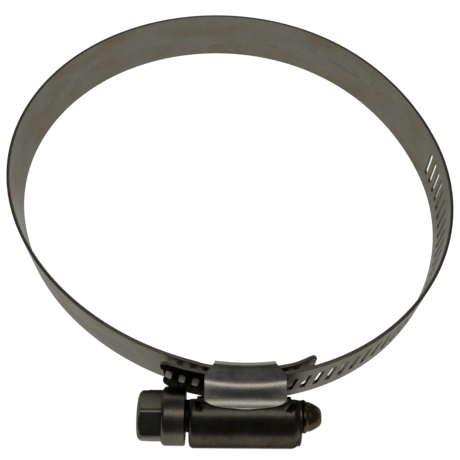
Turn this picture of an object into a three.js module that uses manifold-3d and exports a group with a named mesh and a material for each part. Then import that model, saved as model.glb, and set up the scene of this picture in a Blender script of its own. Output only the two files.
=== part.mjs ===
// Worm-drive hose clamp, lying flat, nearly fully open.
// The hose axis is +Z. The housing is on the -Y side of the ring and the screw
// lies along X, its hex head towards -X and its pilot tip towards +X.
// Millimetres. The band runs from z = 0 to z = BAND_W.
import * as THREE from 'three';
import { mergeVertices } from 'three/addons/utils/BufferGeometryUtils.js';
import Module from 'manifold-3d';

const wasm = await Module();
wasm.setup();

// ---------------------------------------------------------------- dimensions
const BAND_W = 12.7;            // half inch band
const BAND_T = 0.65;            // band thickness
const ZM = BAND_W / 2;          // mid height of the band and of the screw
const HINGE_GAP = 0.3;          // break between two band links

const PITCH = 2.5;              // slot pitch and thread pitch
const SLOT_L = 6.3;             // slot length across the band
const SLOT_W = 1.12;            // slot width along the band
const SLOT_LEAN = 6.5;          // degrees, upper end towards +X at the housing

const SADDLE_R = 40;            // curve of the saddle seen from above
const Y_FREE = -47.3;           // middle of the free band under the screw
const Y_FIX = -46.1;            // middle of the fixed band end in the saddle
const SADDLE_HALF = 7.0;        // half length of the saddle
const SADDLE_T = 0.75;

const AXIS_Y = -52.3;           // screw axis
const HOUSE_HALF = 9.6;         // half length of the housing
const HOUSE_RO = 5.55;          // outside radius of the housing's dome
const HOUSE_RI = 4.8;

const CORE_R = 3.3;             // root radius of the worm
const CREST_R = 4.2;            // crest radius of the worm
const COLLAR_R = 5.0;
const HEX_AF = 7.94;            // 5/16 inch across flats
const HEAD_X0 = -18.7, HEAD_X1 = -14.3, COLLAR_X1 = -10.25;
const TIP_X = 13.5;

// band chain: first hinge, first heading (degrees from +X, counter-clockwise),
// then the plain links' radii, all of one length, and the slotted links
const CHAIN_X = -9.0, CHAIN_Y = -44.9, CHAIN_HEADING = 165.9;
const PLAIN_L = 13.694;
const PLAIN_R = [56.38, 57.99, 54.19, 47.52, 43.02, 41.6, 42.13, 43.69, 45.81, 47.65, 47.65, 46.27, 47.27, 53.12, 56.52];
const SLOTTED_R = 43.73;
const SLOTTED_L = [7.5, 7.5, 7.5, 7.5, 7.5, 7.5, 7.5, 7.5, 7.5, 7.5, 7.5, 10.0];

// The numbers above are about the hose axis and the band's lower edge. The
// part's own origin is the middle of its footprint, on the surface it lies on.
const ORIGIN = [-3.0794, -5.622, -1.02];

// ---------------------------------------------------------------- materials
const mat = (c, r, m) => new THREE.MeshStandardMaterial({ color: c, roughness: r, metalness: m });
const bandMat = () => mat(0x77746a, 0.45, 0.9);
const slotMat = () => mat(0x6f6d63, 0.45, 0.9);
const houseMat = () => mat(0x55534c, 0.3, 0.95);
const saddleMat = () => mat(0x6c6a62, 0.3, 0.95);
const screwMat = () => mat(0x6a6656, 0.35, 0.95);

// ---------------------------------------------------------------- solids
function solid(geo, matrix) {
  const g = geo.index ? geo.toNonIndexed() : geo.clone();
  for (const k of Object.keys(g.attributes)) if (k !== 'position') g.deleteAttribute(k);
  if (matrix) g.applyMatrix4(matrix);
  const m = mergeVertices(g, 1e-4);
  return new wasm.Manifold(new wasm.Mesh({
    numProp: 3,
    vertProperties: new Float32Array(m.attributes.position.array),
    triVerts: new Uint32Array(m.index.array),
  }));
}
function geometry(man) {
  const m = man.getMesh();
  const g = new THREE.BufferGeometry();
  const p = new Float32Array(m.numVert * 3);
  for (let i = 0; i < m.numVert; i++) for (let k = 0; k < 3; k++) p[i * 3 + k] = m.vertProperties[i * m.numProp + k];
  g.setAttribute('position', new THREE.BufferAttribute(p, 3));
  g.setIndex(new THREE.BufferAttribute(new Uint32Array(m.triVerts), 1));
  return g;
}
const group = new THREE.Group();
function add(name, man, material) {
  const g = geometry(man);
  g.computeVertexNormals();
  const mesh = new THREE.Mesh(g, material);
  mesh.name = name;
  group.add(mesh);
}
const T = (x, y, z) => new THREE.Matrix4().makeTranslation(x, y, z);
const RX = (a) => new THREE.Matrix4().makeRotationX(a);
const RY = (a) => new THREE.Matrix4().makeRotationY(a);
const RZ = (a) => new THREE.Matrix4().makeRotationZ(a);
const mul = (...m) => m.reduce((a, b) => a.multiply(b), new THREE.Matrix4());
const box = (x0, x1, y0, y1, z0, z1) =>
  solid(new THREE.BoxGeometry(x1 - x0, y1 - y0, z1 - z0), T((x0 + x1) / 2, (y0 + y1) / 2, (z0 + z1) / 2));

// a flat outline in the XY plane pushed up from z0 to z1
function prism(pts, z0, z1) {
  const s = new THREE.Shape(pts.map((p) => new THREE.Vector2(p[0], p[1])));
  const g = new THREE.ExtrudeGeometry(s, { depth: z1 - z0, bevelEnabled: false });
  return solid(g, T(0, 0, z0));
}
// a turned piece on the screw axis: profile is [x, radius] from the left end
function turned(profile, seg) {
  const pts = profile.map((p) => new THREE.Vector2(Math.max(p[1], 0), p[0]));
  const g = new THREE.LatheGeometry(pts, seg);
  // lathe axis Y becomes X
  const man = solid(g, mul(T(0, AXIS_Y, ZM), RZ(-Math.PI / 2)));
  return man;
}
// a closed profile in the (y, z) plane pushed along X in steps, then curved
// with the band so that each point moves by x^2 / (2 SADDLE_R) towards +Y;
// the part that lies on the straight housing stays straight
function curved(profile, x0, x1, steps) {
  const s = new THREE.Shape(profile.map((p) => new THREE.Vector2(p[0], p[1])));
  const g = new THREE.ExtrudeGeometry(s, { depth: x1 - x0, steps, bevelEnabled: false });
  // shape x -> y, shape y -> z, extrude direction -> x
  const m = new THREE.Matrix4().set(0, 0, 1, x0, 1, 0, 0, 0, 0, 1, 0, 0, 0, 0, 0, 1);
  g.applyMatrix4(m);
  const p = g.attributes.position;
  for (let i = 0; i < p.count; i++) {
    const w = Math.min(1, Math.max(0, (p.getY(i) + 51) / 1.6));
    p.setY(i, p.getY(i) + (w * p.getX(i) ** 2) / (2 * SADDLE_R));
  }
  return solid(g);
}

// ---------------------------------------------------------------- band chain
// The chain is followed from the fixed end clockwise round the ring, link by
// link; each link is an arc that is tangent to its neighbours.
function arcPoints(x, y, h, r, len, n) {
  const out = [];
  for (let i = 0; i <= n; i++) {
    const a = (len * i) / n, t = h - a / r;
    // centre of the arc is on the right hand side of the direction of travel
    const cx = x + r * Math.sin(h), cy = y - r * Math.cos(h);
    out.push({ x: cx - r * Math.sin(t), y: cy + r * Math.cos(t), h: t });
  }
  return out;
}
function strip(pts) {
  const o = BAND_T / 2, a = [], b = [];
  for (const p of pts) {
    const nx = -Math.sin(p.h), ny = Math.cos(p.h);
    a.push([p.x + nx * o, p.y + ny * o]);
    b.push([p.x - nx * o, p.y - ny * o]);
  }
  return a.concat(b.reverse());
}
// one slot cutter at a point of the centre line, through the thickness
function slotCutter(p) {
  const s = new THREE.Shape();
  const hw = SLOT_W / 2, hl = SLOT_L / 2 - hw;
  const pts = [];
  for (let i = 0; i <= 4; i++) { const a = (Math.PI * i) / 4; pts.push(new THREE.Vector2(hw * Math.cos(a), hl + hw * Math.sin(a))); }
  for (let i = 0; i <= 4; i++) { const a = Math.PI + (Math.PI * i) / 4; pts.push(new THREE.Vector2(hw * Math.cos(a), -hl + hw * Math.sin(a))); }
  s.setFromPoints(pts);
  const g = new THREE.ExtrudeGeometry(s, { depth: 3, bevelEnabled: false });
  g.translate(0, 0, -1.5);
  // local x along the band's counter-clockwise direction, local y up, local z outwards
  const h = p.h + Math.PI;
  const m = new THREE.Matrix4().set(
    Math.cos(h), 0, Math.sin(h), p.x,
    Math.sin(h), 0, -Math.cos(h), p.y,
    0, 1, 0, ZM,
    0, 0, 0, 1);
  return solid(g, mul(m, RZ((-SLOT_LEAN * Math.PI) / 180)));
}

const hinges = [];
let at = { x: CHAIN_X, y: CHAIN_Y, h: (CHAIN_HEADING * Math.PI) / 180 };
PLAIN_R.forEach((r, i) => {
  const all = arcPoints(at.x, at.y, at.h, r, PLAIN_L, 1);
  const s = arcPoints(at.x, at.y, at.h, r, HINGE_GAP / 2, 1)[1];
  const body = arcPoints(s.x, s.y, s.h, r, PLAIN_L - HINGE_GAP, 6);
  hinges.push(at);
  add(`band_${String(i + 1).padStart(2, '0')}`, prism(strip(body), 0, BAND_W), bandMat());
  at = all[1];
});
SLOTTED_L.forEach((len, i) => {
  const r = SLOTTED_R;
  const last = i === SLOTTED_L.length - 1;
  const end = arcPoints(at.x, at.y, at.h, r, len, 1)[1];
  const s = arcPoints(at.x, at.y, at.h, r, HINGE_GAP / 2, 1)[1];
  const run = len - (last ? HINGE_GAP / 2 : HINGE_GAP);
  const body = arcPoints(s.x, s.y, s.h, r, run, 4);
  let man = prism(strip(body), 0, BAND_W);
  const n = Math.round(len / PITCH);
  for (let k = 0; k < n; k++) {
    const p = arcPoints(at.x, at.y, at.h, r, (k + 0.5) * PITCH, 1)[1];
    man = man.subtract(slotCutter(p));
  }
  if (last) {
    // the free end's corners are cut off
    const e = { x: end.x, y: end.y, h: end.h };
    for (const sgn of [-1, 1]) {
      const m = mul(T(e.x, e.y, ZM + sgn * BAND_W / 2), RZ(e.h), RY((45 * Math.PI) / 180));
      man = man.subtract(solid(new THREE.BoxGeometry(2.2, 4, 2.2), m));
    }
  }
  hinges.push(at);
  add(`slotted_${String(i + 1).padStart(2, '0')}`, man, slotMat());
  at = end;
});

// ---------------------------------------------------------------- fixed end
// Plan-view run of the band's fixed end: the stub to the first hinge, through
// the saddle, and the tongue that turns inwards inside the free band.
{
  const sad = (x) => ({ x, y: Y_FIX + (x * x) / (2 * SADDLE_R), h: Math.atan2(x / SADDLE_R, 1) });
  const pts = [];
  // bend from the saddle's left end up to the first hinge
  const hd = ((CHAIN_HEADING - 180) * Math.PI) / 180;
  const gx = CHAIN_X - Math.cos(hd) * -0.15, gy = CHAIN_Y + Math.sin(hd) * 0.15;
  pts.push({ x: gx, y: gy, h: hd });
  for (let x = -7; x <= 7.001; x += 2) pts.push(sad(x));
  // tongue: radius 15 from the saddle's right end
  let e = sad(7);
  let h = e.h, x = e.x, y = e.y;
  for (let i = 0; i < 4; i++) {
    const dh = 1.55 / 15;
    x += 1.55 * Math.cos(h + dh / 2); y += 1.55 * Math.sin(h + dh / 2); h += dh;
    pts.push({ x, y, h });
  }
  let man = prism(strip(pts), 0, BAND_W);
  // rounded end of the tongue
  const tip = pts[pts.length - 1];
  for (const sgn of [-1, 1]) {
    const m = mul(T(tip.x, tip.y, ZM + sgn * BAND_W / 2), RZ(tip.h), RY((45 * Math.PI) / 180));
    man = man.subtract(solid(new THREE.BoxGeometry(3.4, 4, 3.4), m));
  }
  add('fixed_end', man, bandMat());
}

// ---------------------------------------------------------------- saddle
// One strip: a plate inside the band, a side plate past each edge of the band,
// and a tab from each side plate that closes over the flank of the housing.
{
  const yi = Y_FIX + BAND_T / 2 + 0.2;        // face of the inner plate towards the band
  const yo = yi + SADDLE_T;                   // face towards the hose
  const v1 = ZM + 0.27, v2 = v1 + SADDLE_T;   // side plates, measured from mid height
  const c = 0.55;
  // outer and inner outline of one half, from the hose side outwards: [y, v]
  const out = [[yo, v2 - c], [yo - c, v2], [-49.4, v2], [-50.2, 7.0], [-51.2, 6.62], [-52.3, 6.55], [-53.5, 6.42], [-54.6, 6.1]];
  const inn = [[-54.35, 5.42], [-53.4, 5.72], [-52.3, 5.86], [-51.2, 5.94], [-50.2, 6.3], [-49.4, v1], [yi, v1]];
  const half = [...out, ...inn];
  const prof = [...half.map((p) => [p[0], ZM + p[1]]), ...half.slice().reverse().map((p) => [p[0], ZM - p[1]])];
  let man = curved(prof, -SADDLE_HALF, SADDLE_HALF, 8);
  // the tabs' free edges are curved, lowest in the middle
  const smile = [[-8, -57], [8, -57], [8, -52.1], [7.1, -52.1], [5.6, -53.2], [3.6, -54.1], [0, -54.8], [-3.6, -54.1], [-5.6, -53.2], [-7.1, -52.1], [-8, -52.1]];
  man = man.subtract(prism(smile, ZM + 4.5, ZM + 9));
  man = man.subtract(prism(smile, ZM - 9, ZM - 4.5));
  add('saddle', man, saddleMat());
}

// ---------------------------------------------------------------- housing
{
  const n = 20;
  const ro = HOUSE_RO, ri = HOUSE_RI;
  const yf = Y_FREE - BAND_T / 2 - 0.42;      // face of the feet towards the band
  const yg = yf - 0.95;                       // outer face of the feet
  // outline seen along X, in (y, z): feet, then the dome
  const arc = (r, y0) => {
    const a0 = Math.acos((y0 - AXIS_Y) / r);
    const out = [];
    for (let i = 0; i <= n; i++) { const a = a0 + ((2 * Math.PI - 2 * a0) * i) / n; out.push([AXIS_Y + r * Math.cos(a), ZM + r * Math.sin(a)]); }
    return out;
  };
  const outer = [[yf, ZM - 6.3], [yf, ZM + 6.3], [yg, ZM + 6.3], ...arc(ro, yg), [yg, ZM - 6.3]];
  const inner = [[yf + 1, ZM - 4.2], [yf + 1, ZM + 4.2], ...arc(ri, yf - 0.2)];
  const push = (prof, x0, x1) => {
    const s = new THREE.Shape(prof.map((p) => new THREE.Vector2(p[0], p[1])));
    const g = new THREE.ExtrudeGeometry(s, { depth: x1 - x0, bevelEnabled: false });
    return solid(g, new THREE.Matrix4().set(0, 0, 1, x0, 1, 0, 0, 0, 0, 1, 0, 0, 0, 0, 0, 1));
  };
  let man = push(outer, -HOUSE_HALF, HOUSE_HALF);
  man = man.subtract(push(inner, -HOUSE_HALF + 1.0, HOUSE_HALF - 0.9));
  // holes for the screw's neck and for its pilot end
  man = man.subtract(turned([[-12, 0], [-12, 3.0], [-7, 3.0], [-7, 0]], 20));
  man = man.subtract(turned([[7, 0], [7, 3.25], [12, 3.25], [12, 0]], 20));
  // the feet are shorter than the dome at both ends
  for (const sx of [-1, 1]) for (const sz of [-1, 1]) {
    const x0 = sx > 0 ? 7.6 : -12, x1 = sx > 0 ? 12 : -7.6;
    man = man.subtract(box(x0, x1, -51.2, -46, sz > 0 ? ZM + 4.6 : ZM - 9, sz > 0 ? ZM + 9 : ZM - 4.6));
  }
  // side windows beside the saddle's ends
  for (const sx of [-1, 1]) for (const sz of [-1, 1]) {
    const m = mul(T(sx * 7.95, -54.1, ZM + sz * 5.2), RX(sz * 0.3));
    man = man.subtract(solid(new THREE.BoxGeometry(1.7, 1.8, 2.4), m));
  }
  add('housing', man, houseMat());
}

// ---------------------------------------------------------------- screw
{
  const core = [
    [HEAD_X1 - 0.01, 0], [HEAD_X1 - 0.01, COLLAR_R - 0.5], [HEAD_X1 + 0.5, COLLAR_R], [COLLAR_X1, COLLAR_R],
    [COLLAR_X1, 2.7], [-8.3, 2.7], [-8.3, CORE_R], [8.2, CORE_R], [8.4, 2.95],
    [10.9, 2.9], [12.9, 1.9], [TIP_X, 1.6], [TIP_X, 0],
  ];
  let man = turned(core, 32);
  // hex head with a chamfered end
  const hexR = HEX_AF / Math.sqrt(3);
  const hex = [];
  for (let i = 0; i < 6; i++) { const a = ((i * 60 + 35) * Math.PI) / 180; hex.push(new THREE.Vector2(hexR * Math.cos(a), hexR * Math.sin(a))); }
  const hg = new THREE.ExtrudeGeometry(new THREE.Shape(hex), { depth: HEAD_X1 - HEAD_X0, bevelEnabled: false });
  let head = solid(hg, new THREE.Matrix4().set(0, 0, 1, HEAD_X0, 1, 0, 0, AXIS_Y, 0, 1, 0, ZM, 0, 0, 0, 1));
  head = head.intersect(turned([[HEAD_X0, 0], [HEAD_X0, 3.75], [HEAD_X0 + 0.9, 4.75], [HEAD_X1, 4.75], [HEAD_X1, 0]], 32));
  man = man.add(head);
  // screwdriver slot across the head
  man = man.subtract(solid(new THREE.BoxGeometry(3.6, 12, 1.3), mul(T(HEAD_X0, AXIS_Y, ZM), RX((35 * Math.PI) / 180))));
  // right-hand thread: a strip of trapezoid section bent into a helix
  const x0 = -7.6, turns = 6, seg = 20;
  const sec = [[-0.62, CORE_R - 0.4], [0.62, CORE_R - 0.4], [0.28, CREST_R], [-0.28, CREST_R]];
  const sg = new THREE.ExtrudeGeometry(new THREE.Shape(sec.map((p) => new THREE.Vector2(p[0], p[1]))), { depth: 1, steps: turns * seg, bevelEnabled: false });
  const pa = sg.attributes.position;
  for (let i = 0; i < pa.count; i++) {
    const ax = pa.getX(i), r0 = pa.getY(i), t = pa.getZ(i);
    // the crest runs out at both ends of the thread
    const fade = Math.min(1, Math.min(t, 1 - t) * turns * 2);
    const r = r0 > CORE_R ? CORE_R - 0.1 + (r0 - CORE_R + 0.1) * fade : r0;
    const a = t * turns * 2 * Math.PI;
    pa.setXYZ(i, x0 + ax + (a / (2 * Math.PI)) * PITCH, AXIS_Y + r * Math.cos(a), ZM + r * Math.sin(a));
  }
  let thread = solid(sg);
  if (thread.volume() < 0) throw new Error('thread is inside out');
  man = man.add(thread);
  add('screw', man, screwMat());
}

group.position.set(-ORIGIN[0], -ORIGIN[1], -ORIGIN[2]);
export default group;
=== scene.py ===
import bpy, bmesh, math
from mathutils import Vector, Matrix
from mathutils.geometry import delaunay_2d_cdt


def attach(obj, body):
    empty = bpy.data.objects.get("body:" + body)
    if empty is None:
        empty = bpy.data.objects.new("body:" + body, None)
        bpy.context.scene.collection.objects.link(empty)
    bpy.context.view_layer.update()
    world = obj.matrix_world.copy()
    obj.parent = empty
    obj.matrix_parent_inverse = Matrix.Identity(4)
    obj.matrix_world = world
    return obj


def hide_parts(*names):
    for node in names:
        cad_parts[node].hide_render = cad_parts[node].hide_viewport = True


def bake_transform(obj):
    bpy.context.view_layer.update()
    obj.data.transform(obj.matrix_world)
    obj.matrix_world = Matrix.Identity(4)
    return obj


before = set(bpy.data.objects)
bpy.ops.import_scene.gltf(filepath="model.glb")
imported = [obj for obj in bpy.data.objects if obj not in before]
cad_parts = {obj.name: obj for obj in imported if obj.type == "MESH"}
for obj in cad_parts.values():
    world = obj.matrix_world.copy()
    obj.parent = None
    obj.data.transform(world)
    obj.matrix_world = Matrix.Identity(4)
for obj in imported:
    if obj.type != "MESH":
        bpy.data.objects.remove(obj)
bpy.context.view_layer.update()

# ------------------------------------------------------------------ frame
# Sizes below are millimetres about the hose axis and the band's lower edge,
# as in the CAD source; W() turns them into the row frame in metres.
OX, OY, OZ = -3.0794, -5.622, -1.02


def W(x, y, z):
    return ((x - OX) / 1000, (y - OY) / 1000, (z - OZ) / 1000)


BW, BT, ZM = 12.7, 0.65, 6.35
PITCH, SLOT_L, SLOT_W, LEAN = 2.5, 6.3, 1.12, math.radians(6.5)
AY = -52.3

# ------------------------------------------------------------------ path
PL = 13.694
PR = [56.38, 57.99, 54.19, 47.52, 43.02, 41.6, 42.13, 43.69, 45.81, 47.65, 47.65, 46.27, 47.27, 53.12, 56.52]
SR = 43.73
SL = [7.5] * 11 + [10.0]


def adv(p, r, l):
    x, y, h = p
    t = h - l / r
    cx, cy = x + r * math.sin(h), y - r * math.cos(h)
    return (cx - r * math.sin(t), cy + r * math.cos(t), t)


links = []      # (name, start s, length, start pose, radius)
p = (-9.0, -44.9, math.radians(165.9))
s = 0.0
for i, r in enumerate(PR):
    links.append(("band_%02d" % (i + 1), s, PL, p, r))
    p = adv(p, r, PL)
    s += PL
for i, l in enumerate(SL):
    links.append(("slotted_%02d" % (i + 1), s, l, p, SR))
    p = adv(p, SR, l)
    s += l
S_END = s
S_SLOT = PL * 15

# fixed end, followed backwards from the first hinge: saddle curve, then tongue
fixed = []      # (distance from the hinge, x, y, heading of travel towards the hinge)
YFIX, SADR = -46.1, 40.0
pts = []
for k in range(0, 57):
    x = -7 + k * 0.25
    pts.append((x, YFIX + x * x / (2 * SADR)))
e = [7.0, YFIX + 49 / 80, math.atan2(7.0, 40.0)]
for k in range(31):
    dh = 0.2 / 15
    e[0] += 0.2 * math.cos(e[2] + dh / 2)
    e[1] += 0.2 * math.sin(e[2] + dh / 2)
    e[2] += dh
    pts.append((e[0], e[1]))
# a short curve from the hinge to the saddle's left end
h0 = (-9.0, -44.9)
m0 = (math.cos(math.radians(-14.1)), math.sin(math.radians(-14.1)))
m1 = (math.cos(math.atan2(-7, 40)), math.sin(math.atan2(-7, 40)))
q1 = pts[0]
L0 = math.hypot(q1[0] - h0[0], q1[1] - h0[1])
curve = []
for k in range(8):
    t = k / 8
    a, b, c, d = 2 * t**3 - 3 * t**2 + 1, t**3 - 2 * t**2 + t, -2 * t**3 + 3 * t**2, t**3 - t**2
    curve.append(tuple(a * h0[j] + b * L0 * m0[j] + c * q1[j] + d * L0 * m1[j] for j in (0, 1)))
pts = curve + pts
acc = 0.0
for k, q in enumerate(pts):
    if k:
        acc += math.hypot(q[0] - pts[k - 1][0], q[1] - pts[k - 1][1])
    a = pts[max(0, k - 1)]
    b = pts[min(len(pts) - 1, k + 1)]
    fixed.append((acc, q[0], q[1], math.atan2(a[1] - b[1], a[0] - b[0])))
S_FIX = fixed[-1][0]


def at(s):
    """Centre line of the band: x, y and heading at arc length s. Negative s is the fixed end."""
    if s < 0:
        d = -s
        for k in range(1, len(fixed)):
            if fixed[k][0] >= d or k == len(fixed) - 1:
                u = (d - fixed[k - 1][0]) / (fixed[k][0] - fixed[k - 1][0])
                u = min(u, 1.0)
                ha, hb = fixed[k - 1][3], fixed[k][3]
                ha %= 2 * math.pi
                hb %= 2 * math.pi
                return tuple(fixed[k - 1][j] * (1 - u) + fixed[k][j] * u for j in (1, 2)) + (ha * (1 - u) + hb * u,)
    for n, s0, l, p0, r in links:
        if s <= s0 + l + 1e-9:
            return adv(p0, r, s - s0)
    n, s0, l, p0, r = links[-1]
    return adv(p0, r, s - s0)


def place(s, n, z):
    """n is the distance from the centre line, positive away from the hose."""
    x, y, h = at(s)
    return W(x + math.sin(h) * -n, y + math.cos(h) * n, z)


# ------------------------------------------------------------------ materials
def nodes(m):
    m.use_nodes = True
    nt = m.node_tree
    nt.nodes.clear()
    out = nt.nodes.new("ShaderNodeOutputMaterial")
    b = nt.nodes.new("ShaderNodeBsdfPrincipled")
    nt.links.new(b.outputs[0], out.inputs[0])
    return nt, b


def N(nt, kind, **kw):
    n = nt.nodes.new(kind)
    for k, v in kw.items():
        if k.startswith("i_"):
            n.inputs[k[2:].replace("_", " ")].default_value = v
        else:
            setattr(n, k, v)
    return n


def ramp(nt, src, stops):
    r = nt.nodes.new("ShaderNodeValToRGB")
    el = r.color_ramp.elements
    while len(el) < len(stops):
        el.new(0.5)
    for e_, (pos, c) in zip(el, stops):
        e_.position = pos
        e_.color = (c, c, c, 1) if isinstance(c, (int, float)) else (*c, 1)
    nt.links.new(src, r.inputs[0])
    return r


def mix(nt, fac, a, b, blend="MIX"):
    m = nt.nodes.new("ShaderNodeMix")
    m.data_type = "RGBA"
    m.blend_type = blend
    for sock, v in ((m.inputs[0], fac), (m.inputs[6], a), (m.inputs[7], b)):
        if isinstance(v, (int, float)):
            sock.default_value = v
        elif isinstance(v, tuple):
            sock.default_value = (*v, 1)
        else:
            nt.links.new(v, sock)
    return m.outputs[2]


def mapping(nt, src, scale, loc=(0, 0, 0)):
    mp = nt.nodes.new("ShaderNodeMapping")
    mp.inputs["Scale"].default_value = scale
    mp.inputs["Location"].default_value = loc
    nt.links.new(src, mp.inputs[0])
    return mp.outputs[0]


def noise(nt, vec, scale, detail=4.0, rough=0.55, dist=0.0):
    n = nt.nodes.new("ShaderNodeTexNoise")
    n.inputs["Scale"].default_value = scale
    n.inputs["Detail"].default_value = detail
    n.inputs["Roughness"].default_value = rough
    n.inputs["Distortion"].default_value = dist
    nt.links.new(vec, n.inputs["Vector"])
    return n.outputs["Fac"]


def math_(nt, op, a, b=None, clamp=False):
    m = nt.nodes.new("ShaderNodeMath")
    m.operation = op
    m.use_clamp = clamp
    for k, v in enumerate((a, b)):
        if v is None:
            continue
        if isinstance(v, (int, float)):
            m.inputs[k].default_value = v
        else:
            nt.links.new(v, m.inputs[k])
    return m.outputs[0]


def bump(nt, bs, height, strength, dist, prev=None):
    b = nt.nodes.new("ShaderNodeBump")
    b.inputs["Strength"].default_value = strength
    b.inputs["Distance"].default_value = dist
    nt.links.new(height, b.inputs["Height"])
    if prev is not None:
        nt.links.new(prev, b.inputs["Normal"])
    return b.outputs[0]


# arc length near which the painted shade on the outer face of the band's free end starts
TAIL_SHADE_START = S_END - 13.4 - 10.5


def band_material(name, tint=1.0):
    """Rolled stainless strip: fine lines along the strip, blotchy stain. UV: u along the band, v across, both in
    cm.
    """
    m = bpy.data.materials.new(name)
    nt, b = nodes(m)
    uv = N(nt, "ShaderNodeUVMap", uv_map="strip").outputs[0]
    b.inputs["Metallic"].default_value = 1.0
    fine = noise(nt, mapping(nt, uv, (1.2, 55, 1)), 3.0, 6, 0.65)
    line = noise(nt, mapping(nt, uv, (0.25, 22, 1), (3, 1, 0)), 2.2, 4, 0.6)
    blot = noise(nt, mapping(nt, uv, (0.55, 1.0, 1), (1.7, 0, 0)), 1.5, 5, 0.6, 0.4)
    blot2 = noise(nt, mapping(nt, uv, (1.0, 1.6, 1), (9.1, 4, 0)), 2.6, 4, 0.6, 0.2)
    speck = noise(nt, mapping(nt, uv, (1, 1, 1), (2, 7, 0)), 16, 3, 0.6)
    grey = (0.142 * tint, 0.137 * tint, 0.110 * tint)
    warm = (0.138 * tint, 0.108 * tint, 0.070 * tint)
    cool = (0.126 * tint, 0.132 * tint, 0.120 * tint)
    green = (0.118 * tint, 0.126 * tint, 0.090 * tint)
    f1 = ramp(nt, blot, [(0.40, 0.0), (0.66, 1.0)]).outputs[0]
    f2 = ramp(nt, blot2, [(0.45, 0.0), (0.7, 1.0)]).outputs[0]
    c = mix(nt, f1, grey, warm)
    c = mix(nt, math_(nt, "MULTIPLY", f2, 0.7), c, green)
    f3 = ramp(nt, line, [(0.35, 0.0), (0.7, 1.0)]).outputs[0]
    c = mix(nt, math_(nt, "MULTIPLY", f3, 0.35), c, cool)
    dk = ramp(nt, speck, [(0.25, 0.72), (0.42, 1.0)]).outputs[0]
    c = mix(nt, 1.0, c, dk, "MULTIPLY")
    fl = ramp(nt, fine, [(0.3, 0.86), (0.7, 1.08)]).outputs[0]
    c = mix(nt, 1.0, c, fl, "MULTIPLY")
    # brown tide marks, sharper than the general tone
    spot = noise(nt, mapping(nt, uv, (0.42, 0.9, 1), (5.3, 2, 0)), 2.1, 5, 0.62, 0.6)
    sp = ramp(nt, spot, [(0.60, 0.0), (0.66, 0.75), (0.74, 0.45)]).outputs[0]
    c = mix(nt, math_(nt, "MULTIPLY", sp, 0.55), c, (0.085, 0.062, 0.036))
    # painted shade and painted dark reflection on the outer face of the free end that has been through the worm,
    # near black towards the end
    sep = N(nt, "ShaderNodeSeparateXYZ")
    nt.links.new(uv, sep.inputs[0])
    far = N(nt, "ShaderNodeMapRange", interpolation_type="SMOOTHSTEP")
    nt.links.new(math_(nt, "ADD", sep.outputs[0], math_(nt, "MULTIPLY", blot2, 0.4)), far.inputs[0])
    far.inputs[1].default_value = TAIL_SHADE_START / 10 + 0.37 + 0.2 - 0.35
    far.inputs[2].default_value = TAIL_SHADE_START / 10 + 0.37 + 0.2 + 0.45
    face = math_(nt, "LESS_THAN", sep.outputs[1], 1.4)
    g = math_(nt, "MULTIPLY", math_(nt, "MULTIPLY", far.outputs[0], face), 0.86)
    c = mix(nt, g, c, (0.012, 0.011, 0.009))
    nt.links.new(c, b.inputs["Base Color"])
    # the metal's edge tint is dimmed under the same painted shade
    edge = mix(nt, g, (0.68, 0.67, 0.64), (0.15, 0.15, 0.15))
    nt.links.new(edge, b.inputs["Specular Tint"])
    rr = math_(nt, "MULTIPLY_ADD", fine, 0.16)
    rr.node.inputs[2].default_value = 0.30
    rr = math_(nt, "ADD", rr, math_(nt, "MULTIPLY", f1, 0.08))
    nt.links.new(rr, b.inputs["Roughness"])
    n1 = bump(nt, b, fine, 0.22, 0.00004)
    n2 = bump(nt, b, blot2, 0.15, 0.0003, n1)
    nt.links.new(n2, b.inputs["Normal"])
    return m


def metal_material(name, dark, light, rough, scale=(1, 1, 1), warm=None, bumps=0.3, dent=0.1, pits=0.72, edge=0.53):
    """Pressed or turned steel seen up close: tool lines, handling scratches, grime in patches. Object space."""
    m = bpy.data.materials.new(name)
    nt, b = nodes(m)
    co = N(nt, "ShaderNodeTexCoord").outputs["Object"]
    b.inputs["Metallic"].default_value = 1.0
    v = mapping(nt, co, tuple(1000 * k for k in scale))
    fine = noise(nt, mapping(nt, v, (0.35, 5.0, 5.0)), 1.0, 6, 0.65)
    turn = noise(nt, mapping(nt, v, (6.0, 0.3, 0.3), (4, 2, 1)), 1.0, 5, 0.6)
    patch = noise(nt, mapping(nt, v, (0.22, 0.22, 0.22), (1, 5, 2)), 1.0, 5, 0.6, 0.3)
    dots = noise(nt, mapping(nt, v, (1.4, 1.4, 1.4), (7, 3, 1)), 1.0, 4, 0.6)
    f = ramp(nt, patch, [(0.36, 0.0), (0.66, 1.0)]).outputs[0]
    c = mix(nt, f, dark, light)
    if warm:
        g = ramp(nt, dots, [(0.48, 0.0), (0.72, 1.0)]).outputs[0]
        c = mix(nt, math_(nt, "MULTIPLY", g, 0.75), c, warm)
    dk = ramp(nt, dots, [(0.28, pits), (0.45, 1.0)]).outputs[0]
    c = mix(nt, 1.0, c, dk, "MULTIPLY")
    nt.links.new(c, b.inputs["Base Color"])
    b.inputs["Specular Tint"].default_value = (edge, edge * 0.97, edge * 0.93, 1)
    rr = math_(nt, "MULTIPLY_ADD", fine, 0.18)
    rr.node.inputs[2].default_value = rough - 0.09
    rr = math_(nt, "ADD", rr, math_(nt, "MULTIPLY", f, 0.07))
    nt.links.new(rr, b.inputs["Roughness"])
    n1 = bump(nt, b, fine, bumps, 0.00004)
    n2 = bump(nt, b, turn, bumps * 0.6, 0.00003, n1)
    n3 = bump(nt, b, patch, dent, 0.0006, n2)
    nt.links.new(n3, b.inputs["Normal"])
    return m


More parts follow.
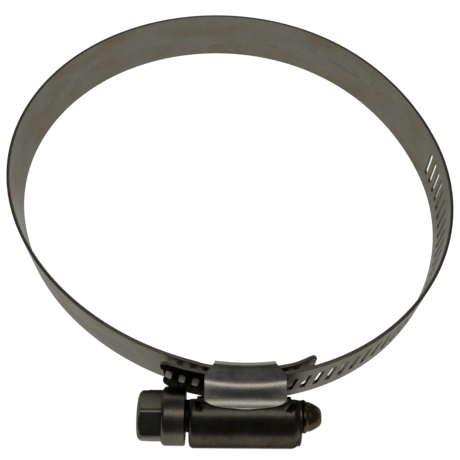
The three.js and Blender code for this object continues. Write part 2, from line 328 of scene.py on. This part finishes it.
MAT_BAND = band_material("band_steel")
MAT_SADDLE = metal_material("saddle_steel", (0.205, 0.200, 0.180), (0.255, 0.248, 0.222), 0.25, warm=(0.235, 0.205, 0.145), bumps=0.10, dent=0.03, pits=0.85, edge=0.8)
MAT_HOUSE = metal_material("housing_steel", (0.040, 0.038, 0.030), (0.064, 0.060, 0.047), 0.26, warm=(0.072, 0.056, 0.032), bumps=0.12, dent=0.06, edge=0.38)
MAT_SCREW = metal_material("screw_steel", (0.080, 0.077, 0.060), (0.125, 0.118, 0.090), 0.30, warm=(0.110, 0.080, 0.052), bumps=0.2, dent=0.08)
MAT_TIP = metal_material("screw_tip", (0.070, 0.056, 0.032), (0.120, 0.098, 0.055), 0.30, warm=(0.10, 0.06, 0.032), bumps=0.25, dent=0.08)
# painted shade: the neck between the collar and the housing is near black where it lies in shade
MAT_NECK_SHADE = metal_material("screw_neck_painted_shade", (0.012, 0.011, 0.008), (0.025, 0.022, 0.016), 0.45, warm=(0.03, 0.02, 0.012), bumps=0.2, dent=0.08)


# ------------------------------------------------------------------ meshes
def new_object(name, verts, faces, mats, smooth=True, face_mat=None, uvs=None):
    me = bpy.data.meshes.new(name)
    me.from_pydata(verts, [], faces)
    me.validate()
    for m in mats:
        me.materials.append(m)
    if smooth:
        for f in me.polygons:
            f.use_smooth = True
    if face_mat:
        for f, k in zip(me.polygons, face_mat):
            f.material_index = k
    if uvs is not None:
        layer = me.uv_layers.new(name="strip")
        for l in me.loops:
            layer.data[l.index].uv = uvs[l.vertex_index]
    o = bpy.data.objects.new(name, me)
    bpy.context.scene.collection.objects.link(o)
    return o


def sharp_by_angle(o, deg):
    me = o.data
    bm = bmesh.new()
    bm.from_mesh(me)
    bmesh.ops.recalc_face_normals(bm, faces=bm.faces)
    for e_ in bm.edges:
        if len(e_.link_faces) == 2:
            e_.smooth = e_.calc_face_angle(0) < math.radians(deg)
    bm.to_mesh(me)
    bm.free()


def slot_outline(sc, grow, n=6):
    """Slot outline in (s, z), going round; grow widens it at the face for the broken edge."""
    hw, hl = SLOT_W / 2 + grow, SLOT_L / 2 + grow - (SLOT_W / 2 + grow)
    out = []
    for i in range(n + 1):
        a = math.pi * i / n
        out.append((hw * math.cos(a), hl + hw * math.sin(a)))
    for i in range(n + 1):
        a = math.pi + math.pi * i / n
        out.append((hw * math.cos(a), -hl + hw * math.sin(a)))
    ca, sa = math.cos(LEAN), math.sin(LEAN)
    # travel runs clockwise, so the upper end leans back along s
    return [(sc + x * ca - y * sa, ZM + x * sa + y * ca) for x, y in out]


def strip_piece(name, s0, s1, slots, step, end=None):
    """A run of the band from s0 to s1 with its slots. end: 'tail' or 'tongue' shapes the free end at s1 or s0."""
    R = 0.11                       # rounding of the slit edges
    zs0, zs1 = R, BW - R
    cols = max(2, int(round((s1 - s0) / step)))
    xs = [s0 + (s1 - s0) * i / cols for i in range(cols + 1)]
    zin = [zs0 + (zs1 - zs0) * k / 8 for k in range(9)]
    poly = []
    if end == "tail":
        c = 1.3
        poly = [(s0, zs0), (s1 - c, zs0), (s1 - 0.25, zs0 + c * 0.8), (s1, zs0 + c * 1.3),
                (s1, 3.3), (s1 - 0.42, 3.75), (s1 - 0.5, 6.2), (s1 - 0.42, 8.9), (s1, 9.35),
                (s1, zs1 - c * 1.3), (s1 - 0.25, zs1 - c * 0.8), (s1 - c, zs1), (s0, zs1)]
    elif end == "tongue":
        n = 7
        c = 2.0
        arc = [(s0 + c - c * math.cos(math.pi / 2 * k / n) , zs0 + c - c * math.sin(math.pi / 2 * (n - k) / n) * 1.0) for k in range(0)]
        lower = [(s0 + c * (1 - math.sin(math.pi / 2 * k / n)), zs0 + c * (1 - math.cos(math.pi / 2 * k / n))) for k in range(n + 1)]
        upper = [(a, 2 * ZM - b) for a, b in reversed(lower)]
        poly = [(s1, zs0)] + lower + upper + [(s1, zs1)]
        poly = poly[::-1]
    free = end is not None
    if not poly:
        poly = [(x, zs0) for x in xs] + [(x, zs1) for x in reversed(xs)]
    else:
        # add the columns along the long edges
        dense = []
        for k in range(len(poly)):
            a, b = poly[k], poly[(k + 1) % len(poly)]
            dense.append(a)
            if abs(a[1] - b[1]) < 1e-9 and abs(a[0] - b[0]) > step:
                m = int(round(abs(a[0] - b[0]) / step))
                dense += [(a[0] + (b[0] - a[0]) * j / m, a[1]) for j in range(1, m)]
        poly = dense
    holes_in, holes_out = [], []
    for sc in slots:
        holes_in.append(slot_outline(sc, 0.0))
        holes_out.append(slot_outline(sc, 0.09))

    def inside(pt, pg):
        c, x, y = False, pt[0], pt[1]
        j = len(pg) - 1
        for i in range(len(pg)):
            xi, yi = pg[i]
            xj, yj = pg[j]
            if (yi > y) != (yj > y) and x < (xj - xi) * (y - yi) / (yj - yi) + xi:
                c = not c
            j = i
        return c

    co = list(poly)
    edges = [(i, (i + 1) % len(poly)) for i in range(len(poly))]
    for h in holes_out:
        b = len(co)
        co += h
        edges += [(b + i, b + (i + 1) % len(h)) for i in range(len(h))]
    for x in xs[1:-1]:
        for z in zin[1:-1]:
            if inside((x, z), poly) and not any(inside((x, z), h) for h in holes_out):
                near = min([math.hypot(x - a, z - b2) for h in holes_out for a, b2 in h] + [9])
                if near > 0.14:
                    co.append((x, z))
    res = delaunay_2d_cdt([Vector(c) for c in co], edges, [], 0, 1e-5)
    v2 = [(v.x, v.y) for v in res[0]]
    tris = []
    for f in res[2]:
        cx = sum(v2[i][0] for i in f) / len(f)
        cz = sum(v2[i][1] for i in f) / len(f)
        if inside((cx, cz), poly) and not any(inside((cx, cz), h) for h in holes_out):
            tris.append(list(f))
    # boundary edges in the direction of their triangle
    count = {}
    for f in tris:
        for i in range(len(f)):
            a, b = f[i], f[(i + 1) % len(f)]
            count[(a, b)] = 1
    border = [(a, b) for (a, b) in count if (b, a) not in count]
    verts, faces, uvs = [], [], []

    def vert(s, n, z):
        verts.append(place(s, n, z))
        uvs.append((s / 10 + 0.37, z / 10 + (0.0 if n >= 0 else 3.0)))
        return len(verts) - 1

    top = [vert(a, BT / 2, b) for a, b in v2]
    bot = [vert(a, -BT / 2, b) for a, b in v2]
    for f in tris:
        faces.append([top[i] for i in f])
        faces.append([bot[i] for i in reversed(f)])
    # which hole or outline each border vertex is on
    rim = {}
    for hi, (ho, hn) in enumerate(zip(holes_out, holes_in)):
        for (a, b), (c, d) in zip(ho, hn):
            rim[(round(a, 3), round(b, 3))] = (c, d)
    mid = {}

    def ring(i):
        if i in mid:
            return mid[i]
        a, b = v2[i]
        k = (round(a, 3), round(b, 3))
        if k in rim:
            c, d = rim[k]
            mid[i] = (vert(c, BT / 2 - 0.1, d), vert(c, -BT / 2 + 0.1, d))
        else:
            c, d = a, b
            if abs(b - zs0) < 1e-4:
                d = 0.0
            elif abs(b - zs1) < 1e-4:
                d = BW
            if free and not (abs(b - zs0) < 1e-4 or abs(b - zs1) < 1e-4):
                c = a + (0.09 if end == "tail" else -0.09)
                d = b
            elif free and ((end == "tail" and a > s1 - 1.31) or (end == "tongue" and a < s0 + 2.01)):
                d = 0.03 if b < ZM else BW - 0.03
            mid[i] = (vert(c, BT / 2 - R, d), vert(c, -BT / 2 + R, d))
        return mid[i]

    for a, b in border:
        ax, bx = v2[a], v2[b]
        if abs(ax[0] - bx[0]) < 1e-4:
            if abs(ax[0] - s0) < 1e-4 and end != "tongue":
                continue
            if abs(ax[0] - s1) < 1e-4 and end != "tail":
                continue
        ra, rb = ring(a), ring(b)
        faces.append([top[b], top[a], ra[0], rb[0]])
        faces.append([rb[0], ra[0], ra[1], rb[1]])
        faces.append([rb[1], ra[1], bot[a], bot[b]])
    o = new_object(name, verts, faces, [MAT_BAND], uvs=uvs)
    sharp_by_angle(o, 50)
    me = o.data
    look = {}
    for k, (a, b) in enumerate(v2):
        h = at(a)[2]
        look[top[k]] = Vector((-math.sin(h), math.cos(h), 0))
        look[bot[k]] = -look[top[k]]
    nrm = [cn.vector.copy() for cn in me.corner_normals]
    for f in me.polygons:
        vs = [me.loops[j].vertex_index for j in f.loop_indices]
        if all(v in look for v in vs):
            for j in f.loop_indices:
                nrm[j] = look[me.loops[j].vertex_index]
    me.normals_split_custom_set(nrm)
    return o


# ------------------------------------------------------------------ band
slots = [S_SLOT + (k + 0.5) * PITCH for k in range(37)]
cuts = []
for n, s0, l, p0, r in links:
    cuts.append(s0 + (l / 2 if n.startswith("band") else 5.0))
step = lambda a: 0.55 if a >= S_SLOT - 8 else 0.9


# the links turn in groups, each named after its first link
HINGES = {0, 1, 2, 3, 6, 7, 8, 9, 10, 13, 14, 16, 18, 21}


def body_of(i):
    while i not in HINGES:
        i -= 1
    return links[i][0]


def band_piece(i):
    """Piece i crosses the hinge at the start of link i."""
    name, s0, l, p0, r = links[i]
    a = -S_FIX if i == 0 else cuts[i - 1]
    b = cuts[i]
    mine = [c for c in slots if a < c < b]
    o = strip_piece("strip_%02d" % (i + 1), a, b, mine, step(a), "tongue" if i == 0 else None)
    body_a = "housing" if i == 0 else body_of(i - 1)
    lo = s0 - 1.8 if i == 0 else a
    if i not in HINGES:
        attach(o, body_of(i))
        return o
    x, y, h = at(lo)
    x2, y2, h2 = at(b)
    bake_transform(o)
    return o


for i in range(len(links)):
    band_piece(i)
tail_a = cuts[-1]
tail = strip_piece("strip_tail", tail_a, S_END, [c for c in slots if tail_a < c < S_END], 0.5, "tail")
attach(tail, body_of(len(links) - 1))
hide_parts("fixed_end", "band_01")
for i in range(1, len(links)):
    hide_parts(links[i][0])


# ------------------------------------------------------------------ housing, saddle, screw
def boolean(o, cutter, op="DIFFERENCE"):
    m = o.modifiers.new("b", "BOOLEAN")
    m.operation = op
    m.solver = "EXACT"
    m.object = cutter
    dg = bpy.context.evaluated_depsgraph_get()
    me = bpy.data.meshes.new_from_object(o.evaluated_get(dg))
    o.modifiers.clear()
    old = o.data
    o.data = me
    bpy.data.objects.remove(cutter)
    return o


def apply_modifiers(o):
    dg = bpy.context.evaluated_depsgraph_get()
    me = bpy.data.meshes.new_from_object(o.evaluated_get(dg))
    o.modifiers.clear()
    o.data = me


def grid(name, rows, mats, close_u=True, cap=True, uvs=None):
    """rows: list of rings of points (mm). Joined ring to ring, capped at both ends."""
    n = len(rows[0])
    verts = [W(*q) for r_ in rows for q in r_]
    faces = []
    for i in range(len(rows) - 1):
        for j in range(n if close_u else n - 1):
            k = (j + 1) % n
            faces.append([i * n + j, i * n + k, (i + 1) * n + k, (i + 1) * n + j])
    if cap:
        faces.append(list(range(n))[::-1])
        faces.append([(len(rows) - 1) * n + j for j in range(n)])
    return new_object(name, verts, faces, mats)


def fix_normals(o):
    bm = bmesh.new()
    bm.from_mesh(o.data)
    bmesh.ops.remove_doubles(bm, verts=bm.verts, dist=1e-7)
    bmesh.ops.recalc_face_normals(bm, faces=bm.faces)
    bm.to_mesh(o.data)
    bm.free()


def lathe(name, prof, seg, mats):
    rows = []
    for x, r in prof:
        r = max(r, 0.002)
        rows.append([(x, AY + r * math.cos(2 * math.pi * j / seg), ZM + r * math.sin(2 * math.pi * j / seg)) for j in range(seg)])
    return grid(name, rows, mats)


def box_obj(name, c, size, rot=None):
    hx, hy, hz = (q / 2 for q in size)
    m = rot or Matrix.Identity(3)
    vs = []
    for sx in (-1, 1):
        for sy in (-1, 1):
            for sz in (-1, 1):
                v = m @ Vector((sx * hx, sy * hy, sz * hz))
                vs.append(W(c[0] + v.x, c[1] + v.y, c[2] + v.z))
    f = [(0, 1, 3, 2), (4, 6, 7, 5), (0, 4, 5, 1), (2, 3, 7, 6), (0, 2, 6, 4), (1, 5, 7, 3)]
    return new_object(name, vs, [list(q) for q in f], [MAT_HOUSE], smooth=False)


def build_housing():
    HH, RO, RI = 9.55, 5.25, 4.6
    yf, yg = -48.045, -48.995
    n = 56

    def prof(r, foot, shrink):
        a0 = math.acos((yg - AY) / RO)
        out = [(yf, ZM - foot), (yf, ZM), (yf, ZM + foot), (yg, ZM + foot)]
        for i in range(n + 1):
            a = a0 + (2 * math.pi - 2 * a0) * i / n
            out.append((AY + r * math.cos(a), ZM + r * math.sin(a)))
        out.append((yg, ZM - foot))
        return out
    rows = []
    # rounded shoulder at the head end, a broken corner and a flat rim at the tip end
    st = []
    for k in range(6):
        a = math.pi / 2 * k / 5
        st.append((-HH + 0.85 * (1 - math.sin(a)) + 0.0, RO - 0.85 * (1 - math.cos(math.pi / 2 - a))))
    st = [(-HH + 0.8 * (1 - math.cos(t)), RO - 0.8 * (1 - math.sin(t))) for t in [math.pi / 2 * k / 6 for k in range(7)]]
    for k in range(1, 10):
        st.append((-HH + 0.8 + (2 * HH - 2.3) * k / 10, RO))
    st += [(HH - 1.5, RO), (HH - 1.1, RO - 0.06), (HH - 0.6, RO - 0.32), (HH - 0.35, RO - 0.45), (HH - 0.28, RO - 0.42), (HH - 0.05, RO - 0.42), (HH, RO - 0.5)]
    for x, r in st:
        foot = 6.2 if abs(x) < 7.7 else 6.2
        rows.append([(x, a, b) for a, b in prof(r, foot, 0)])
    o = grid("clamp_housing", rows, [MAT_HOUSE])
    fix_normals(o)
    # cavity
    a0 = math.acos((yf - 0.2 - AY) / RI)
    cav = [(yf + 1, ZM - 4.2), (yf + 1, ZM + 4.2)]
    for i in range(49):
        a = a0 + (2 * math.pi - 2 * a0) * i / 48
        cav.append((AY + RI * math.cos(a), ZM + RI * math.sin(a)))
    c = grid("cut", [[(x, a, b) for a, b in cav] for x in (-8.6, 8.7)], [MAT_HOUSE])
    fix_normals(c)
    boolean(o, c)
    for q in (([(-12, 3.0), (-7, 3.0)]), ([(7, 3.25), (12, 3.25)])):
        c = lathe("cut", q, 48, [MAT_HOUSE])
        fix_normals(c)
        boolean(o, c)
    for sx in (-1, 1):
        for sz in (-1, 1):
            c = box_obj("cut", (sx * 9.2, -47.75, ZM + sz * 4.2), (4.9, 6.1, 8.8))
            fix_normals(c)
            boolean(o, c)
            # three-sided window beside the saddle's end
            a = ([(-8.6, -51.25), (-7.25, -51.35), (-6.85, -52.3), (-7.7, -53.0), (-8.3, -52.4)] if sx < 0 else
                 [(7.9, -51.45), (8.7, -51.7), (8.5, -52.4), (7.55, -53.05), (6.75, -52.7)])
            lo, hi = (ZM + 3.2, ZM + 7) if sz > 0 else (ZM - 7, ZM - 3.2)
            c = grid("cut", [[(x, y, lo) for x, y in a], [(x, y, hi) for x, y in a]], [MAT_HOUSE])
            fix_normals(c)
            boolean(o, c)
    b = o.modifiers.new("bev", "BEVEL")
    b.width = 0.00013
    b.segments = 2
    b.limit_method = "ANGLE"
    b.angle_limit = math.radians(38)
    apply_modifiers(o)
    for f in o.data.polygons:
        f.use_smooth = True
    sharp_by_angle(o, 40)
    return o


def smooth_poly(pts, rad, seg=4):
    """Rounds the corners of an open polyline."""
    out = [pts[0]]
    for k in range(1, len(pts) - 1):
        p0, p1, p2 = Vector(pts[k - 1]), Vector(pts[k]), Vector(pts[k + 1])
        a, b = (p0 - p1), (p2 - p1)
        d = min(rad, a.length * 0.45, b.length * 0.45)
        pa, pb = p1 + a.normalized() * d, p1 + b.normalized() * d
        for i in range(seg + 1):
            t = i / seg
            q = pa * (1 - t) ** 2 + p1 * 2 * t * (1 - t) + pb * t * t
            out.append((q.x, q.y))
    out.append(pts[-1])
    return out


def build_saddle():
    T_, HX = 0.70, 6.95
    yi = YFIX + BT / 2 + 0.2
    yo = yi + T_
    v1 = ZM + 0.24
    v2 = v1 + T_
    mid_line = [(yi + T_ / 2, 0.0), (yi + T_ / 2, v1 + T_ / 2), (-49.35, v1 + T_ / 2), (-50.9, 6.12), (-51.9, 5.86), (-52.8, 5.82)]
    line = smooth_poly(mid_line, 1.1, 8)
    # resample evenly
    acc = [0.0]
    for a, b in zip(line, line[1:]):
        acc.append(acc[-1] + math.hypot(b[0] - a[0], b[1] - a[1]))
    n = 60
    half = []
    for i in range(n + 1):
        d = acc[-1] * i / n
        k = max(j for j in range(len(acc)) if acc[j] <= d + 1e-9)
        k = min(k, len(line) - 2)
        u = (d - acc[k]) / max(acc[k + 1] - acc[k], 1e-9)
        half.append((line[k][0] * (1 - u) + line[k + 1][0] * u, line[k][1] * (1 - u) + line[k + 1][1] * u))
    full = [(y, -v) for y, v in reversed(half[1:])] + half
    L = len(full)
    nor = []
    for i in range(L):
        a, b = full[max(0, i - 1)], full[min(L - 1, i + 1)]
        dx, dy = b[0] - a[0], b[1] - a[1]
        m = math.hypot(dx, dy)
        nor.append((dy / m, -dx / m))
    # half length along X of the strip at each place: the tabs' free edges are curved
    def hx(y, v):
        if y > -51.3:
            t = min(1.0, max(0.0, (y + 48.2) / 3.0))
            t = t * t * (3 - 2 * t)
            return HX - 1.75 * t
        t = min(1.0, (-51.3 - y) / 1.46)
        return HX * math.sqrt(max(0.0, 1 - t ** 1.9))
    cols = 36
    verts, faces = [], []
    idx = {}
    for i in range(L):
        y, v = full[i]
        h = max(hx(y, v), 0.6)
        for j in range(cols + 1):
            x = h * (-1 + 2 * j / cols)
            w = min(1.0, max(0.0, (y + 51) / 1.6))
            w = w * w * (3 - 2 * w)
            bend = w * x * x / (2 * SADR)
            for k, sgn in ((0, 1), (1, -1)):
                idx[i, j, k] = len(verts)
                yy = y + nor[i][0] * sgn * T_ / 2 + bend
                verts.append(W(x, yy, ZM + v + nor[i][1] * sgn * T_ / 2))
    for i in range(L - 1):
        for j in range(cols):
            faces.append([idx[i, j, 0], idx[i + 1, j, 0], idx[i + 1, j + 1, 0], idx[i, j + 1, 0]])
            faces.append([idx[i, j, 1], idx[i, j + 1, 1], idx[i + 1, j + 1, 1], idx[i + 1, j, 1]])
        for j in (0, cols):
            faces.append([idx[i, j, 0], idx[i, j, 1], idx[i + 1, j, 1], idx[i + 1, j, 0]])
    for i in (0, L - 1):
        for j in range(cols):
            faces.append([idx[i, j, 0], idx[i, j + 1, 0], idx[i, j + 1, 1], idx[i, j, 1]])
    o = new_object("clamp_saddle", verts, faces, [MAT_SADDLE])
    fix_normals(o)
    b = o.modifiers.new("bev", "BEVEL")
    b.width = 0.00016
    b.segments = 3
    b.limit_method = "ANGLE"
    b.angle_limit = math.radians(45)
    apply_modifiers(o)
    for f in o.data.polygons:
        f.use_smooth = True
    sharp_by_angle(o, 60)
    return o


def build_screw():
    HX0, HX1, CX1 = -18.4, -14.3, -10.25
    # turned body: collar with a rounded left edge, neck, root of the worm, pilot
    prof = [(HX1 + 0.12, 3.0), (HX1 + 0.02, 4.4)]
    for k in range(7):
        a = math.pi / 2 * k / 6
        prof.append((HX1 + 0.75 - 0.73 * math.cos(a), 4.2 + 0.68 * math.sin(a)))
    prof += [(CX1 - 0.25, 4.88), (CX1 - 0.07, 4.83), (CX1, 4.7), (CX1, 2.7), (-8.35, 2.7), (-8.25, 3.3), (8.15, 3.3), (8.3, 2.5), (9.65, 2.42)]
    prof += [(9.95, 2.62), (10.15, 2.76), (10.4, 2.80), (10.62, 2.74), (10.8, 2.56), (11.0, 2.46), (11.3, 2.45), (11.9, 2.22), (12.6, 1.86), (13.05, 1.56), (13.25, 1.36), (13.38, 1.1), (13.44, 0.7), (13.45, 0.01)]
    o = lathe("clamp_screw", prof, 96, [MAT_SCREW, MAT_TIP, MAT_NECK_SHADE])
    fix_normals(o)
    # tip material from x 8.5 on; the neck between the collar and the worm root gets the near-black painted-shade
    # material
    for f in o.data.polygons:
        if f.center.x > W(8.5, 0, 0)[0]:
            f.material_index = 1
        elif f.center.x > W(CX1 - 0.005, 0, 0)[0]:
            f.material_index = 2
    # hex head
    seg = 144
    af = 7.94 / 2
    rows = []
    st = [HX0, HX0 + 0.05, HX0 + 0.12, HX0 + 0.25, HX0 + 0.4, HX0 + 0.6, HX0 + 0.8, HX0 + 1.0, HX0 + 1.3, HX0 + 1.8, HX0 + 2.6, HX0 + 3.6, HX1 - 0.15, HX1 + 0.3]
    for i, x in enumerate(st):
        t = x - HX0
        cone = 3.62 + t * 1.05 if t > 0.05 else 3.5 + t * 2.4
        row = []
        for j in range(seg):
            a = 2 * math.pi * j / seg
            d = (a - math.radians(35 + 30) + math.pi / 6) % (math.pi / 3) - math.pi / 6
            rh = af / math.cos(d)
            # corner broken by 0.18 mm
            rh = min(rh, 4.46 + 0.02 * math.cos(d * 6))
            r = min(rh, cone)
            row.append((x, AY + r * math.cos(a), ZM + r * math.sin(a)))
        rows.append(row)
    hd = grid("clamp_head", rows, [MAT_SCREW])
    fix_normals(hd)
    c = box_obj("cut", (HX0, AY, ZM), (3.4, 12, 1.3), Matrix.Rotation(math.radians(35), 3, "X"))
    fix_normals(c)
    boolean(hd, c)
    b = hd.modifiers.new("bev", "BEVEL")
    b.width = 0.00010
    b.segments = 2
    b.limit_method = "ANGLE"
    b.angle_limit = math.radians(50)
    apply_modifiers(hd)
    for f in hd.data.polygons:
        f.use_smooth = True
    sharp_by_angle(hd, 24)
    # thread: trapezoid ridge on the worm, and a smaller one that fades on the tip
    verts, faces = [], []

    def ridge(x0, turns, root, crest, wr, wc, seg_=40, taper=None):
        n = int(turns * seg_)
        base = len(verts)
        for i in range(n + 1):
            t = i / n
            fade = min(1.0, min(t, 1 - t) * turns * 1.5)
            fade = fade * fade * (3 - 2 * fade)
            a = t * turns * 2 * math.pi
            xx = x0 + t * turns * PITCH
            ro, cr = (root, crest) if taper is None else (taper(xx) - 0.12, taper(xx) + (crest - root))
            cr = ro + 0.02 + (cr - ro) * fade
            for dx, r in ((-wr, ro - 0.15), (-wr * 0.9, ro), (-wc, cr - 0.04), (-wc * 0.6, cr), (wc * 0.6, cr), (wc, cr - 0.04), (wr * 0.9, ro), (wr, ro - 0.15)):
                verts.append(W(xx + dx, AY + r * math.cos(a), ZM + r * math.sin(a)))
        for i in range(n):
            for j in range(7):
                p_ = base + i * 8 + j
                faces.append([p_, p_ + 1, p_ + 9, p_ + 8])
    ridge(-7.6, 6, 3.3, 4.2, 0.62, 0.30)
    tp = lambda x: 2.42 if x < 9.9 else 2.42 - (x - 9.9) * 0.27
    k0 = len(faces)
    ridge(8.9, 1.3, 2.42, 2.72, 0.42, 0.14, taper=tp)
    th = new_object("clamp_thread", verts, faces, [MAT_SCREW, MAT_TIP], face_mat=[0] * k0 + [1] * (len(faces) - k0))
    fix_normals(th)
    for f in th.data.polygons:
        f.use_smooth = True
    sharp_by_angle(o, 32)
    sharp_by_angle(th, 40)
    return o, hd, th


housing = build_housing()
saddle = build_saddle()
screw, head, thread = build_screw()
for o, sl, body in ((housing, "housing", "housing"), (saddle, "saddle", "housing"), (screw, "screw", "screw"), (head, "screw", "screw"), (thread, "screw", "screw")):
    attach(o, body)
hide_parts("housing")
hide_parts("saddle")
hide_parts("screw")

# ------------------------------------------------------------------ floor, light, camera
def floor():
    m = bpy.data.materials.new("floor_white")
    nt, b = nodes(m)
    co = N(nt, "ShaderNodeTexCoord").outputs["Object"]
    nf = noise(nt, co, 30, 3)
    c = ramp(nt, nf, [(0.2, 0.50), (0.8, 0.54)]).outputs[0]
    nt.links.new(c, b.inputs["Base Color"])
    b.inputs["Emission Color"].default_value = (1, 1, 1, 1)
    b.inputs["Emission Strength"].default_value = 0.95
    b.inputs["Roughness"].default_value = 0.9
    b.inputs["Specular IOR Level"].default_value = 0.1
    n = 24
    verts, faces = [(0, 0, -0.0002)], []
    for j in range(96):
        a = 2 * math.pi * j / 96
        verts.append((3.0 * math.cos(a), 3.0 * math.sin(a), -0.0002))
    for j in range(96):
        faces.append([0, 1 + j, 1 + (j + 1) % 96])
    o = new_object("floor", verts, faces, [m], smooth=False)


floor()


def area(name, loc, target, size, power, color=(1, 1, 1), size_y=None):
    d = bpy.data.lights.new(name, "AREA")
    d.energy = power
    d.color = color
    d.size = size
    if size_y:
        d.shape = "RECTANGLE"
        d.size_y = size_y
    o = bpy.data.objects.new(name, d)
    o.location = loc
    o.rotation_euler = (Vector(target) - Vector(loc)).to_track_quat("-Z", "Y").to_euler()
    bpy.context.scene.collection.objects.link(o)
    return o


world = bpy.data.worlds.new("studio")
bpy.context.scene.world = world
world.use_nodes = True
wt = world.node_tree
wt.nodes["Background"].inputs[0].default_value = (0.80, 0.86, 0.95, 1)
wt.nodes["Background"].inputs[1].default_value = 0.10
area("top", (0.0, -0.09, 0.62), (0, -0.045, 0), 0.60, 0.85, (1, 0.985, 0.94), 0.17)
area("back", (0.0, 0.75, 0.22), (0, -0.04, 0.01), 1.3, 2.4, (1, 0.985, 0.95), 0.55)
bpy.context.scene.view_settings.view_transform = "Standard"

cam = bpy.data.cameras.new("camera")
cam.sensor_fit = "HORIZONTAL"
cam.sensor_width = 36.0
F_PX, PPX, PPY = 618.047, 227.641, 191.078
cam.lens = F_PX / 460 * 36.0
cam.shift_x = (230 - PPX) / 460
cam.shift_y = (PPY - 230) / 460
cam.clip_start = 0.005
cam.clip_end = 20
co = bpy.data.objects.new("camera", cam)
right = Vector((0.99978, 0.00171, 0.02083))
up = Vector((-0.01333, 0.81967, 0.57268))
back = right.cross(up).normalized()
up = back.cross(right).normalized()
right.normalize()
pos = Vector(W(-5.158, -81.925, 117.32))
co.matrix_world = Matrix(((right.x, up.x, back.x, pos.x), (right.y, up.y, back.y, pos.y), (right.z, up.z, back.z, pos.z), (0, 0, 0, 1)))
bpy.context.scene.collection.objects.link(co)
bpy.context.scene.camera = co
